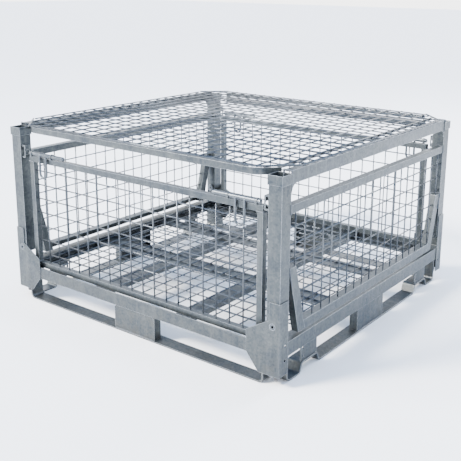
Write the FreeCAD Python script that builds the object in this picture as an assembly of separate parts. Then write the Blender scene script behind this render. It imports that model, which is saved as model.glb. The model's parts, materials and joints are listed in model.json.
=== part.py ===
import FreeCAD, Part
import math
import os

# Collapsible galvanised wire mesh container with a lift-off mesh lid.
# Millimetres. X runs left to right, Y from the front (-Y) to the rear, Z up.
# The origin is on the floor, under the middle of the base.

V = FreeCAD.Vector

# ---- overall sizes ---------------------------------------------------------
WIDTH = 1165.0             # over the corner sleeves, along X
DEPTH = 1130.0             # over the corner sleeves, along Y
TOP_RAIL_TOP = 640.0       # top of the end frames, which carries the lid
PANEL_DROP = 105.0         # from there down to the top of the front and rear panels

# ---- corner sleeves and posts ----------------------------------------------
SLEEVE_T = 3.0             # plate of the folded corner sleeve
SLEEVE_FOOT = 36.0         # lower edge of the sleeve
SLEEVE_TOP = 263.0
SLEEVE_SIDE = 44.0         # width of its side plate
GUSSET_REACH = 118.5       # how far the front plate runs inwards
GUSSET_LOW = 90.0          # the straight inner edge, from and to
GUSSET_HIGH = 160.0
GUSSET_FOOT = 74.5         # width of the plate at its lower edge
GUSSET_NECK = 37.5         # width of the plate beside the post
GUSSET_NECK_Z = 207.0
SLEEVE_HOLE_R = 5.0
SLEEVE_HOLE_Z = (81.0, 127.0)
SLEEVE_HOLE_IN = 30.0      # from the sleeve's corner to the holes

POST = 45.0                # square tube
POST_WALL = 2.5
POST_GAP = 0.4             # between post and sleeve
POST_DROP = 28.0           # from the top rail's top to the top of the post
CUP_WALL = 3.0             # stacking cup round the top of the post
CUP_OVERLAP = 9.0          # how far the cup grips the post, and stands above it
CUP_ABOVE = 20.0
PIVOT_Z = 190.0            # axis on which an end frame folds
PIVOT_R = 10.0
PIVOT_BORE_R = 4.5
PIVOT_FIT = 0.08           # radial clearance of the post on its pin
PIVOT_COLLAR_R = 14.0
PIVOT_COLLAR_T = 5.0
COLLAR_GAP = 0.5

# ---- base --------------------------------------------------------------------
RAIL_LOW = 87.0            # underside of the base rails, clear for the forks
RAIL_T = 3.5
END_RAIL_DEPTH = 42.5      # front and rear rails
SIDE_RAIL_DEPTH = 45.0
RAIL_LEG = 45.0            # lower leg of the front and rear angle rails
SIDE_RAIL_FLANGE = 40.0

LONG_BEARER_X = 185.0      # bearers that run front to rear
LONG_BEARER_WIDTH = 60.0
LONG_BEARER_DEPTH = 20.5
CROSS_BEARER_Y = 165.0     # flat bearers that run side to side
CROSS_BEARER_WIDTH = 75.0
BEARER_T = 3.0
CROSS_BEARER_T = 5.0

SKID_T = 5.0               # bent strap on the floor
SKID_WIDTH = 50.0
SKID_BEND = 18.0           # outer radius of the corner bends
SKID_GAP = 3.0             # between a side skid and the end of an end skid
SIDE_SKID_INSET = 50.0     # from the front of the container to the skid's leg
SIDE_SKID_SET_BACK = 5.0
FOOT_LENGTH = 70.0         # flat foot beside the corner leg
STEP_LENGTH = 82.0         # raised step under the leg plate
STEP_RISE = 30.0
STEP_RUN = 13.0            # length of the slope up to the step
STEP_BEND = 9.0

BLOCK_T = 4.0              # folded spacer blocks and leg plates
BLOCK_FLANGE = 30.0
CENTRE_BLOCK_WIDTH = 180.0
BLOCK_NOTCH_R = 6.0        # relief at the upper ends of its folds
LEG_PLATE_WIDTH = 88.0
BLOCK_SET_BACK = 4.0
PLATE_HOLE_R = 5.0
PLATE_HOLE_IN = 11.0
PLATE_HOLE_RISE = (14.0, 42.0)   # heights of its two holes above the step

FOOT_R = 13.0              # stacking foot under each corner
FOOT_TIP_R = 8.0
FOOT_TIP_Z = 14.0
FOOT_TAPER = 24.0

# ---- wire mesh -----------------------------------------------------------------
WIRE = 4.5
PITCH = 51.0
LAYERS = 8.5               # depth of two crossing layers, pressed together at the welds

# ---- end frames ------------------------------------------------------------------
TOP_RAIL_DEPTH = 38.0
TOP_RAIL_WIDTH = 26.0
TOP_RAIL_T = 3.0
CORNER_R = 25.0            # rounded corner under each end of the top rail
MID_RAIL_DROP = 99.0       # from the top rail's top to the middle rail's
MID_RAIL = 25.0
TUBE_WALL = 2.0
LOW_RAIL_GAP = 10.0        # between the bottom rail and the base
LOW_RAIL = 30.0
LOW_RAIL_T = 3.0
BRACE_TOP = 355.0
BRACE_WIDTH = 35.0
BRACE_DEPTH = 25.0
BRACE_WALL = 2.5
BRACE_LEAN = 55.0          # how far the brace leans inwards over its height

# ---- front and rear panels ---------------------------------------------------------
PANEL_SET_BACK = 18.0      # from the front of the container
PANEL_TUBE = 20.0
PANEL_GAP = 28.0           # between the stile and the post
PANEL_FLOOR_GAP = 4.5      # between the panel's bottom bar and the floor mesh
FLOOR_PANEL_GAP = 7.0      # between the floor mesh's edge and the panel
HINGE_R = 6.0
HINGE_FIT = 0.06
HINGE_DEPTH = 28.0
LUG_T = 6.0
LUG_GAP = 3.0
LUG_ABOVE = 13.0

# ---- slide bolts ----------------------------------------------------------------------
BOLT_R = 7.5
BOLT_FIT = 0.08
BOLT_LENGTH = 173.0
BOLT_LIFT = 10.0           # axis above the panel's top rail
BOLT_OUT = 10.0            # axis outside the panel's middle plane
KEEPER_CLEAR = 16.5        # between the drawn bolt's tip and its keeper
GUIDE_T = 5.0
GUIDE_FROM_TIP = (12.5, 114.5)
PULL_R = 4.0               # bent pull handle welded to the bolt
PULL_FROM_TIP = (54.5, 87.5)
PULL_CLEAR = 1.5
PULL_DROP = 84.0           # from the bolt's axis to the lowest point
KEEPER_REACH = 18.0        # bent strap on the post that takes the bolt
KEEPER_T = 5.0
KEEPER_RIM = 1.0           # beside its hole
KEEPER_HEIGHT = 45.0
KEEPER_ABOVE = 3.5         # its centre above the bolt's axis
KEEPER_HOLE_GAP = 1.5      # round the bolt

# ---- lid ---------------------------------------------------------------------------------
LID_GAP = 1.0              # above the end frames
LID_SIDE_IN = 2.5          # edges of the lid inside the container's outline
LID_END_IN = 8.0
LID_CORNER_GAP = 4.7       # between a cut corner and the stacking cup
LID_BEND = 60.0            # radius where the front bar turns along a cut corner
LID_BAR_DEPTH = 20.0
LID_BAR_WIDTH = 25.0
LID_BAR_T = 3.0
LID_REAR_BAR_WIDTH = 24.0
LID_REAR_BAR_DEPTH = 12.0
LID_REAR_BAR_END = 3.0     # from its end to the start of the cut corner
LID_PIN_R = 3.5
LID_PIN_FIT = 0.06
LID_PIN_DEPTH = 25.0
LID_LUG_T = 5.0
LID_LUG_R = 5.5            # rounded top of the lug that holds a hinge pin
LID_LUG_GAP = 1.0
CARRIER_DROP = 16.0        # rear rail's top below the lid's hinge
CARRIER_DEPTH = 25.0
CARRIER_WIDTH = 50.0
LID_SIDE_STRIP = 20.0
LID_RAIL_GAP = 17.0        # from the side strips and the front bar's ends to the top rail
ROD_R = 3.0                # round rods along the cut corners

# ---- places that follow from the sizes ------------------------------------------------------
HALF_X = WIDTH / 2
HALF_Y = DEPTH / 2
POST_X = HALF_X - SLEEVE_T - POST_GAP - POST / 2     # axes of the posts
POST_Y = HALF_Y - SLEEVE_T - POST_GAP - POST / 2
FRAME_OUT = POST_X + POST / 2                        # outer face of the end frames
FRAME_IN = POST_X - POST / 2                         # inner face of the posts
POST_IN_Y = POST_Y - POST / 2
CUP = POST + 2 * CUP_WALL
CUP_IN_X = POST_X - CUP / 2
CUP_IN_Y = POST_Y - CUP / 2
RAIL_X = HALF_X - SLEEVE_T                           # outer faces of the base rails
RAIL_Y = HALF_Y - SLEEVE_T
PANEL_Y = HALF_Y - PANEL_SET_BACK - PANEL_TUBE / 2   # middle plane of a panel
PANEL_END = FRAME_IN - PANEL_GAP                     # outer face of a stile
PANEL_TOP = TOP_RAIL_TOP - PANEL_DROP
POST_TOP = TOP_RAIL_TOP - POST_DROP
CUP_LOW = POST_TOP - CUP_OVERLAP
CUP_TOP = POST_TOP + CUP_ABOVE
MID_RAIL_TOP = TOP_RAIL_TOP - MID_RAIL_DROP
END_RAIL_TOP = RAIL_LOW + END_RAIL_DEPTH
SIDE_RAIL_TOP = RAIL_LOW + SIDE_RAIL_DEPTH
LONG_BEARER_TOP = RAIL_LOW + RAIL_T + LONG_BEARER_DEPTH
CROSS_BEARER_TOP = LONG_BEARER_TOP + CROSS_BEARER_T
HINGE_Z = CROSS_BEARER_TOP + WIRE + PANEL_FLOOR_GAP + PANEL_TUBE / 2   # axis on which a panel folds
PANEL_LOW = HINGE_Z - PANEL_TUBE / 2
BOLT_Y = PANEL_Y + BOLT_OUT
BOLT_Z = PANEL_TOP + BOLT_LIFT
BOLT_TIP = FRAME_IN - KEEPER_REACH - KEEPER_CLEAR
KEEPER_WIDTH = 2 * (BOLT_R + KEEPER_HOLE_GAP + KEEPER_RIM)
LOW_RAIL_BOTTOM = SIDE_RAIL_TOP + LOW_RAIL_GAP
LOW_RAIL_TOP = LOW_RAIL_BOTTOM + LOW_RAIL
LID_Z = TOP_RAIL_TOP + LID_GAP
LID_X = HALF_X - LID_SIDE_IN
LID_Y = HALF_Y - LID_END_IN
LID_CUT = CUP_IN_X + CUP_IN_Y - LID_CORNER_GAP * math.sqrt(2)   # x + y along a cut corner
LID_BAR_END = LID_CUT - LID_Y                        # where the cut corners start
REAR_BAR_END = LID_BAR_END - LID_REAR_BAR_END
LID_HINGE_Y = LID_Y - LID_REAR_BAR_WIDTH / 2
LID_HINGE_Z = LID_Z - LID_REAR_BAR_DEPTH / 2
LID_STRIP_X = FRAME_OUT - TOP_RAIL_WIDTH - LID_RAIL_GAP   # outer edge of the side strips
SIDE_SKID_X = HALF_X - SIDE_SKID_SET_BACK
END_SKID_X = SIDE_SKID_X - SKID_WIDTH - SKID_GAP     # outer faces of an end skid's legs


# ---- shape helpers -----------------------------------------------------------------------
def box(x0, x1, y0, y1, z0, z1):
    """A box between two values on each axis."""
    size = (abs(x1 - x0), abs(y1 - y0), abs(z1 - z0))
    return Part.makeBox(*size, V(min(x0, x1), min(y0, y1), min(z0, z1)))


def cylinder(radius, start, end):
    """A round bar from one point to another."""
    along = end - start
    return Part.makeCylinder(radius, along.Length, start, along)


def prism(points, along):
    """A flat outline of straight edges, extruded along a vector."""
    return Part.Face(Part.makePolygon(points + [points[0]])).extrude(along)


def mirror_x(shape):
    return shape.mirror(V(0, 0, 0), V(1, 0, 0))


def mirror_y(shape):
    return shape.mirror(V(0, 0, 0), V(0, 1, 0))


def group(shapes):
    """Separate solids that share a node."""
    return Part.makeCompound(shapes)


def four(shape):
    """The same piece at all four corners, from the one at +X, +Y."""
    front = mirror_y(shape)
    return group([shape, front, mirror_x(shape), mirror_x(front)])


def save(name, shape):
    """Write one node."""
    shape.exportStep("parts/" + name + ".step")


def spread(half, pitch):
    """Evenly spaced places on both sides of the middle, inside +-half."""
    count = int((half - pitch / 2) // pitch) + 1
    return [side * (pitch / 2 + i * pitch) for i in range(count) for side in (-1, 1)]


def grid(us, vs, u_half, v_low, v_high, place, along):
    """A welded mesh as one slab: wires at us and vs, ending at the given edges.

    place turns (u, v) into a point, and along is the slab's thickness.
    """
    us, vs = sorted(us), sorted(vs)
    h = WIRE / 2
    outline = []
    for u in us:
        outline += [(u - h, vs[0] - h), (u - h, v_low), (u + h, v_low), (u + h, vs[0] - h)]
    for v in vs:
        outline += [(us[-1] + h, v - h), (u_half, v - h), (u_half, v + h), (us[-1] + h, v + h)]
    for u in reversed(us):
        outline += [(u + h, vs[-1] + h), (u + h, v_high), (u - h, v_high), (u - h, vs[-1] + h)]
    for v in reversed(vs):
        outline += [(us[0] - h, v + h), (-u_half, v + h), (-u_half, v - h), (us[0] - h, v - h)]
    wires = [loop(outline, place)]
    for u0, u1 in zip(us, us[1:]):
        for v0, v1 in zip(vs, vs[1:]):
            hole = [(u0 + h, v0 + h), (u0 + h, v1 - h), (u1 - h, v1 - h), (u1 - h, v0 + h)]
            wires.append(loop(hole, place))
    return Part.Face(wires).extrude(along)


def loop(points, place):
    """A closed wire through (u, v) points, without repeated points."""
    kept = [p for i, p in enumerate(points) if math.dist(p, points[i - 1]) > 1e-6]
    spots = [place(u, v) for u, v in kept]
    return Part.makePolygon(spots + [spots[0]])


def rows(low, high, pitch):
    """Heights of the level wires: evenly spaced and centred between low and high."""
    count = int((high - low) // pitch)
    first = (low + high - (count - 1) * pitch) / 2
    return [first + i * pitch for i in range(count)]


# ---- corner sleeves, feet and pins ----------------------------------------------------------
def corner_sleeve():
    """Folded plate round the corner at +X, +Y, with the gusset on its rear face."""
    outline = [(HALF_X, SLEEVE_FOOT), (HALF_X - GUSSET_FOOT, SLEEVE_FOOT),
               (HALF_X - GUSSET_REACH, GUSSET_LOW), (HALF_X - GUSSET_REACH, GUSSET_HIGH),
               (HALF_X - GUSSET_NECK, GUSSET_NECK_Z), (HALF_X - GUSSET_NECK, SLEEVE_TOP),
               (HALF_X, SLEEVE_TOP)]
    face = prism([V(x, HALF_Y - SLEEVE_T, z) for x, z in outline], V(0, SLEEVE_T, 0))
    side = box(HALF_X - SLEEVE_T, HALF_X, HALF_Y - SLEEVE_SIDE, HALF_Y, SLEEVE_FOOT, SLEEVE_TOP)
    sleeve = face.fuse(side).removeSplitter()
    fold = [e for e in sleeve.Edges
            if e.Length > SLEEVE_TOP / 2 and abs(e.CenterOfMass.x - HALF_X) < 0.01
            and abs(e.CenterOfMass.y - HALF_Y) < 0.01]
    sleeve = sleeve.makeFillet(SLEEVE_T - 0.2, fold)
    pin_hole = cylinder(PIVOT_R, V(POST_X, HALF_Y - SLEEVE_T, PIVOT_Z), V(POST_X, HALF_Y, PIVOT_Z))
    sleeve = sleeve.cut(pin_hole)
    for z in SLEEVE_HOLE_Z:
        y = HALF_Y - SLEEVE_HOLE_IN
        sleeve = sleeve.cut(cylinder(SLEEVE_HOLE_R, V(HALF_X - SLEEVE_T, y, z), V(HALF_X, y, z)))
    return sleeve


def stacking_foot():
    """Tapered foot under the corner, which drops into the cup of a container below."""
    straight = cylinder(FOOT_R, V(POST_X, POST_Y, FOOT_TIP_Z + FOOT_TAPER), V(POST_X, POST_Y, RAIL_LOW))
    taper = Part.makeCone(FOOT_TIP_R, FOOT_R, FOOT_TAPER, V(POST_X, POST_Y, FOOT_TIP_Z))
    foot = straight.fuse(taper).removeSplitter()
    tip = [e for e in foot.Edges if abs(e.CenterOfMass.z - FOOT_TIP_Z) < 0.01]
    return foot.makeFillet(FOOT_TIP_R / 2, tip)


def pivot_pin():
    """Hollow pin welded in the sleeve, with a collar on the inner side of the post."""
    inner = POST_IN_Y - COLLAR_GAP
    end = inner - PIVOT_COLLAR_T
    pin = cylinder(PIVOT_R, V(POST_X, end, PIVOT_Z), V(POST_X, HALF_Y, PIVOT_Z))
    collar = cylinder(PIVOT_COLLAR_R, V(POST_X, end, PIVOT_Z), V(POST_X, inner, PIVOT_Z))
    bore = cylinder(PIVOT_BORE_R, V(POST_X, end, PIVOT_Z), V(POST_X, HALF_Y, PIVOT_Z))
    return pin.fuse(collar).removeSplitter().cut(bore)


# ---- base rails, bearers and floor -------------------------------------------------------------
def end_rail():
    """Angle rail along the rear edge: an upright web and a lower leg."""
    web = box(-RAIL_X, RAIL_X, RAIL_Y - RAIL_T, RAIL_Y, RAIL_LOW, END_RAIL_TOP)
    leg = box(-RAIL_X, RAIL_X, RAIL_Y - RAIL_LEG, RAIL_Y, RAIL_LOW, RAIL_LOW + RAIL_T)
    return web.fuse(leg).removeSplitter()


def side_rail():
    """Channel rail along the right edge, between the legs of the end rails."""
    reach = RAIL_Y - RAIL_LEG
    web = box(RAIL_X - RAIL_T, RAIL_X, -reach, reach, RAIL_LOW, SIDE_RAIL_TOP)
    inner = RAIL_X - SIDE_RAIL_FLANGE
    low = box(inner, RAIL_X, -reach, reach, RAIL_LOW, RAIL_LOW + RAIL_T)
    high = box(inner, RAIL_X, -reach, reach, SIDE_RAIL_TOP - RAIL_T, SIDE_RAIL_TOP)
    return web.fuse([low, high]).removeSplitter()


def long_bearer():
    """Inverted channel from the front rail to the rear rail, at +X."""
    x0, x1 = LONG_BEARER_X - LONG_BEARER_WIDTH / 2, LONG_BEARER_X + LONG_BEARER_WIDTH / 2
    end = RAIL_Y - RAIL_T
    low = RAIL_LOW + RAIL_T
    whole = box(x0, x1, -end, end, low, LONG_BEARER_TOP)
    inside = box(x0 + BEARER_T, x1 - BEARER_T, -end, end, low, LONG_BEARER_TOP - BEARER_T)
    return whole.cut(inside)


def cross_bearer():
    """Flat bearer across the long bearers, at +Y."""
    end = RAIL_X - RAIL_T
    half = CROSS_BEARER_WIDTH / 2
    return box(-end, end, CROSS_BEARER_Y - half, CROSS_BEARER_Y + half, LONG_BEARER_TOP, CROSS_BEARER_TOP)


def floor_mesh():
    """Mesh floor on the bearers, inside the front and rear panels."""
    v_end = PANEL_Y - PANEL_TUBE / 2 - FLOOR_PANEL_GAP
    return grid(spread(RAIL_X - RAIL_T - WIRE, PITCH), spread(v_end - WIRE, PITCH), RAIL_X - RAIL_T,
                -v_end, v_end, lambda u, v: V(u, v, CROSS_BEARER_TOP), V(0, 0, WIRE))


# ---- skids and spacer blocks ---------------------------------------------------------------------
def strap(points, t, place, along):
    """A bent strap: points is its lower or outer side, and t its thickness to the left."""
    outer = [V(u, v, 0) for u, v in points]
    inner = offset_line(outer, t)
    outline = Part.makePolygon(outer + inner[::-1] + [outer[0]])
    moved = [place(p.Point.x, p.Point.y) for p in outline.OrderedVertexes]
    return prism(moved, along)


def offset_line(points, t):
    """A line beside an open run of straight stretches, t to its left."""
    normals = []
    for a, b in zip(points, points[1:]):
        d = (b - a).normalize()
        normals.append(V(-d.y, d.x, 0))
    result = [points[0] + normals[0] * t]
    for i in range(1, len(points) - 1):
        n = (normals[i - 1] + normals[i]).normalize()
        result.append(points[i] + n * (t / n.dot(normals[i])))
    return result + [points[-1] + normals[-1] * t]


def bend(corner, start, end, radius, steps=5):
    """Points round one corner of a strap, from the way in to the way out."""
    a = (V(*start, 0) - V(*corner, 0)).normalize()
    b = (V(*end, 0) - V(*corner, 0)).normalize()
    half = a.getAngle(b) / 2
    reach = radius / math.tan(half)
    centre = V(*corner, 0) + (a + b).normalize() * (radius / math.sin(half))
    first, last = V(*corner, 0) + a * reach, V(*corner, 0) + b * reach
    turn = math.pi - 2 * half
    side = 1 if a.cross(b).z < 0 else -1
    points = []
    for i in range(steps + 1):
        arm = FreeCAD.Rotation(V(0, 0, side), math.degrees(turn * i / steps)).multVec(first - centre)
        points.append((centre.x + arm.x, centre.y + arm.y))
    assert math.dist(points[-1], (last.x, last.y)) < 1e-3
    return points


def end_skid():
    """Strap along the front edge, with both ends bent up to the base rail."""
    x = END_SKID_X
    right = bend((x, 0), (0, 0), (x, RAIL_LOW), SKID_BEND)
    line = [(-x, RAIL_LOW)] + [(-u, v) for u, v in reversed(right)] + right + [(x, RAIL_LOW)]
    return strap(line, SKID_T, lambda u, v: V(u, -RAIL_Y, v), V(0, SKID_WIDTH, 0))


def side_skid():
    """Strap along the right edge: corner leg, foot, raised step and long middle run."""
    leg = HALF_Y - SIDE_SKID_INSET
    toe = leg - FOOT_LENGTH
    step = toe - STEP_RUN
    fall = step - STEP_LENGTH
    run = fall - STEP_RUN
    spots = [(0, 0), (run, 0), (fall, STEP_RISE), (step, STEP_RISE), (toe, 0), (leg, 0), (leg, RAIL_LOW)]
    half = []
    for before, corner, after in zip(spots, spots[1:-1], spots[2:]):
        half += bend(corner, before, after, SKID_BEND if corner == (leg, 0) else STEP_BEND)
    half.append(spots[-1])
    line = [(-u, v) for u, v in reversed(half)] + half
    return strap(line, SKID_T, lambda u, v: V(SIDE_SKID_X - SKID_WIDTH, u, v), V(SKID_WIDTH, 0, 0))


def folded_block(width, low):
    """Spacer block open at the back, whose face is at x = 0, with a relief at the top of each fold."""
    body = box(-BLOCK_FLANGE, 0, -width / 2, width / 2, low, RAIL_LOW)
    body = body.cut(box(-BLOCK_FLANGE, -BLOCK_T, -width / 2 + BLOCK_T, width / 2 - BLOCK_T, low, RAIL_LOW))
    for y in (-width / 2, width / 2):
        body = body.cut(cylinder(BLOCK_NOTCH_R, V(-2 * BLOCK_T, y, RAIL_LOW), V(0, y, RAIL_LOW)))
    return body


def centre_blocks():
    """Spacer blocks in the middle of the four edges."""
    block = folded_block(CENTRE_BLOCK_WIDTH, SKID_T)
    right = block.translated(V(SIDE_SKID_X - BLOCK_SET_BACK, 0, 0))
    rear = block.rotated(V(0, 0, 0), V(0, 0, 1), 90).translated(V(0, RAIL_Y - BLOCK_SET_BACK, 0))
    return group([right, mirror_x(right), rear, mirror_y(rear)])


def leg_plate(middle):
    """Upright plate on a raised step on the right, with two holes near its front edge."""
    low = STEP_RISE + SKID_T
    x0, x1 = SIDE_SKID_X - BLOCK_SET_BACK - BLOCK_T, SIDE_SKID_X - BLOCK_SET_BACK
    plate = box(x0, x1, middle - LEG_PLATE_WIDTH / 2, middle + LEG_PLATE_WIDTH / 2, low, RAIL_LOW)
    y = middle - LEG_PLATE_WIDTH / 2 + PLATE_HOLE_IN
    for rise in PLATE_HOLE_RISE:
        plate = plate.cut(cylinder(PLATE_HOLE_R, V(x0, y, low + rise), V(x1, y, low + rise)))
    return plate


def leg_plates():
    """The two plates on the right, and the same pair turned round on the left."""
    middle = HALF_Y - SIDE_SKID_INSET - FOOT_LENGTH - STEP_RUN - STEP_LENGTH / 2
    right = [leg_plate(middle), leg_plate(-middle)]
    return group(right + [p.rotated(V(0, 0, 0), V(0, 0, 1), 180) for p in right])


# ---- panel hinges -------------------------------------------------------------------------------
def hinge_lug():
    """Plate on the rear rail at +X that holds a panel's hinge pin."""
    x0 = PANEL_END + LUG_GAP
    return box(x0, x0 + LUG_T, PANEL_Y - PANEL_TUBE / 2, RAIL_Y - RAIL_T,
               RAIL_LOW + RAIL_T, HINGE_Z + LUG_ABOVE).cut(
        cylinder(HINGE_R, V(x0, PANEL_Y, HINGE_Z), V(x0 + LUG_T, PANEL_Y, HINGE_Z)))


def hinge_pin():
    """Pin from the lug into the end of the rear panel's bottom bar, at +X."""
    return cylinder(HINGE_R, V(PANEL_END - HINGE_DEPTH + LUG_GAP, PANEL_Y, HINGE_Z),
                    V(PANEL_END + LUG_GAP + LUG_T, PANEL_Y, HINGE_Z))


# ---- end frames, built on the right -----------------------------------------------------------------
def post():
    """Square tube at +X, +Y, rounded at the foot about its pivot."""
    half, wall = POST / 2, POST_WALL
    tube = box(-half, half, -half, half, PIVOT_Z, POST_TOP)
    hollow = box(wall - half, half - wall, wall - half, half - wall, PIVOT_Z, POST_TOP)
    heel = cylinder(half, V(0, -half, PIVOT_Z), V(0, half, PIVOT_Z))
    heel_in = cylinder(half - wall, V(0, wall - half, PIVOT_Z), V(0, half - wall, PIVOT_Z))
    hole = cylinder(PIVOT_R + PIVOT_FIT, V(0, -half, PIVOT_Z), V(0, half, PIVOT_Z))
    whole = tube.fuse(heel).cut(hollow.fuse(heel_in)).cut(hole)
    return whole.removeSplitter().translated(V(POST_X, POST_Y, 0))


def stacking_cup():
    """Square collar round the top of the post, open above it."""
    outer, inner = CUP / 2, POST / 2
    ring = box(-outer, outer, -outer, outer, CUP_LOW, CUP_TOP)
    return ring.cut(box(-inner, inner, -inner, inner, CUP_LOW, CUP_TOP)).translated(V(POST_X, POST_Y, 0))


def top_rail():
    """Angle between the stacking cups, its web widened into a rounded corner at each post."""
    low = TOP_RAIL_TOP - TOP_RAIL_DEPTH
    x = FRAME_OUT - TOP_RAIL_T
    web = box(x, FRAME_OUT, -CUP_IN_Y, CUP_IN_Y, low, TOP_RAIL_TOP)
    flange = box(FRAME_OUT - TOP_RAIL_WIDTH, FRAME_OUT, -CUP_IN_Y, CUP_IN_Y,
                 TOP_RAIL_TOP - TOP_RAIL_T, TOP_RAIL_TOP)
    corners = []
    for side in (-1, 1):
        corner = box(x, FRAME_OUT, side * (CUP_IN_Y - CORNER_R), side * CUP_IN_Y, low - CORNER_R, low)
        centre = V(x, side * (CUP_IN_Y - CORNER_R), low - CORNER_R)
        corners.append(corner.cut(cylinder(CORNER_R, centre, centre + V(TOP_RAIL_T, 0, 0))))
    return web.fuse([flange] + corners).removeSplitter()


def mid_rail():
    """Square tube between the posts, above the mesh."""
    x0, z0 = FRAME_OUT - MID_RAIL, MID_RAIL_TOP - MID_RAIL
    whole = box(x0, FRAME_OUT, -POST_IN_Y, POST_IN_Y, z0, MID_RAIL_TOP)
    return whole.cut(box(x0 + TUBE_WALL, FRAME_OUT - TUBE_WALL, -POST_IN_Y, POST_IN_Y,
                         z0 + TUBE_WALL, MID_RAIL_TOP - TUBE_WALL))


def brace_edge(z):
    """Inner edge of a brace at a height, as a distance from the middle."""
    top = POST_IN_Y - BRACE_WIDTH
    return top - BRACE_LEAN * (BRACE_TOP - z) / (BRACE_TOP - LOW_RAIL_BOTTOM)


def brace():
    """Rectangular tube, capped at the top, from the post down to the bottom rail's end, at +Y."""
    x0 = FRAME_OUT - BRACE_DEPTH

    def outline(inset, x):
        high = BRACE_TOP - inset
        spots = [(brace_edge(z) + shift, z) for z, shift in
                 ((LOW_RAIL_BOTTOM, inset), (high, inset),
                  (high, BRACE_WIDTH - inset), (LOW_RAIL_BOTTOM, BRACE_WIDTH - inset))]
        return [V(x, y, z) for y, z in spots]

    whole = prism(outline(0, x0), V(BRACE_DEPTH, 0, 0))
    inside = prism(outline(BRACE_WALL, x0 + BRACE_WALL), V(BRACE_DEPTH - 2 * BRACE_WALL, 0, 0))
    return whole.cut(inside)


def low_rail():
    """Angle between the braces, cut to their slope, with its flange on top."""
    def outline(x, z0, z1):
        spots = [(-brace_edge(z0), z0), (brace_edge(z0), z0), (brace_edge(z1), z1), (-brace_edge(z1), z1)]
        return [V(x, y, z) for y, z in spots]

    web = prism(outline(FRAME_OUT - LOW_RAIL_T, LOW_RAIL_BOTTOM, LOW_RAIL_TOP), V(LOW_RAIL_T, 0, 0))
    flange = prism(outline(FRAME_OUT - LOW_RAIL, LOW_RAIL_TOP - LOW_RAIL_T, LOW_RAIL_TOP), V(LOW_RAIL, 0, 0))
    return web.fuse(flange).removeSplitter()


def end_mesh():
    """Mesh of the right end frame, between the rails, posts and braces."""
    high = MID_RAIL_TOP - MID_RAIL
    x = FRAME_OUT - LOW_RAIL_T - WIRE
    mesh = grid(spread(POST_IN_Y - WIRE, PITCH), rows(LOW_RAIL_TOP, high, PITCH), POST_IN_Y,
                LOW_RAIL_TOP, high, lambda u, v: V(x, u, v), V(WIRE, 0, 0))
    low = LOW_RAIL_TOP
    edge = [(-brace_edge(low), low), (brace_edge(low), low), (brace_edge(BRACE_TOP), BRACE_TOP),
            (POST_IN_Y, BRACE_TOP), (POST_IN_Y, high), (-POST_IN_Y, high),
            (-POST_IN_Y, BRACE_TOP), (-brace_edge(BRACE_TOP), BRACE_TOP)]
    return mesh.common(prism([V(x, y, z) for y, z in edge], V(WIRE, 0, 0)))


def keeper():
    """Strap bent into a C on the inner side of the post at +X, +Y, with a hole for the bolt."""
    x0 = FRAME_IN - KEEPER_REACH
    middle = BOLT_Z + KEEPER_ABOVE
    y0, y1 = BOLT_Y - KEEPER_WIDTH / 2, BOLT_Y + KEEPER_WIDTH / 2
    z0, z1 = middle - KEEPER_HEIGHT / 2, middle + KEEPER_HEIGHT / 2
    whole = box(x0, FRAME_IN, y0, y1, z0, z1)
    strap_c = whole.cut(box(x0 + KEEPER_T, FRAME_IN, y0, y1, z0 + KEEPER_T, z1 - KEEPER_T))
    bent = [e for e in strap_c.Edges if e.Length > KEEPER_WIDTH - 1 and e.Length < KEEPER_WIDTH + 1
            and abs(e.CenterOfMass.x - x0) < 0.01]
    strap_c = strap_c.makeFillet(KEEPER_T - 0.5, bent)
    hole = cylinder(BOLT_R + KEEPER_HOLE_GAP, V(x0, BOLT_Y, BOLT_Z), V(x0 + KEEPER_T, BOLT_Y, BOLT_Z))
    return strap_c.cut(hole)


def end_frame_pieces():
    """Every node of the right end frame, by name."""
    return {
        "posts": group([post(), mirror_y(post())]),
        "stacking_cups": group([stacking_cup(), mirror_y(stacking_cup())]),
        "top_rail": top_rail(),
        "mid_rail": mid_rail(),
        "low_rail": low_rail(),
        "braces": group([brace(), mirror_y(brace())]),
        "mesh": end_mesh(),
        "bolt_keepers": group([keeper(), mirror_y(keeper())]),
    }


# ---- panels, built at the rear --------------------------------------------------------------------------
def panel_tube(x0, x1, z0, z1, along_x):
    """Square tube in the rear panel's plane, open at both ends."""
    y0, y1 = PANEL_Y - PANEL_TUBE / 2, PANEL_Y + PANEL_TUBE / 2
    w = TUBE_WALL
    hollow = (x0, x1, z0 + w, z1 - w) if along_x else (x0 + w, x1 - w, z0, z1)
    return box(x0, x1, y0, y1, z0, z1).cut(box(hollow[0], hollow[1], y0 + w, y1 - w, hollow[2], hollow[3]))


def panel_bottom_bar():
    """Solid square bar with a bore for the hinge pin in each end."""
    half = PANEL_TUBE / 2
    bar = box(-PANEL_END, PANEL_END, PANEL_Y - half, PANEL_Y + half, PANEL_LOW, PANEL_LOW + PANEL_TUBE)
    for side in (-1, 1):
        bar = bar.cut(cylinder(HINGE_R + HINGE_FIT, V(side * PANEL_END, PANEL_Y, HINGE_Z),
                               V(side * (PANEL_END - HINGE_DEPTH), PANEL_Y, HINGE_Z)))
    return bar


def panel_mesh():
    """Mesh inside the panel's frame."""
    low, high = PANEL_LOW + PANEL_TUBE, PANEL_TOP - PANEL_TUBE
    inner = PANEL_END - PANEL_TUBE
    y = PANEL_Y - WIRE / 2
    return grid(spread(inner - WIRE, PITCH), rows(low, high, PITCH), inner, low, high,
                lambda u, v: V(u, y, v), V(0, WIRE, 0))


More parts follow.
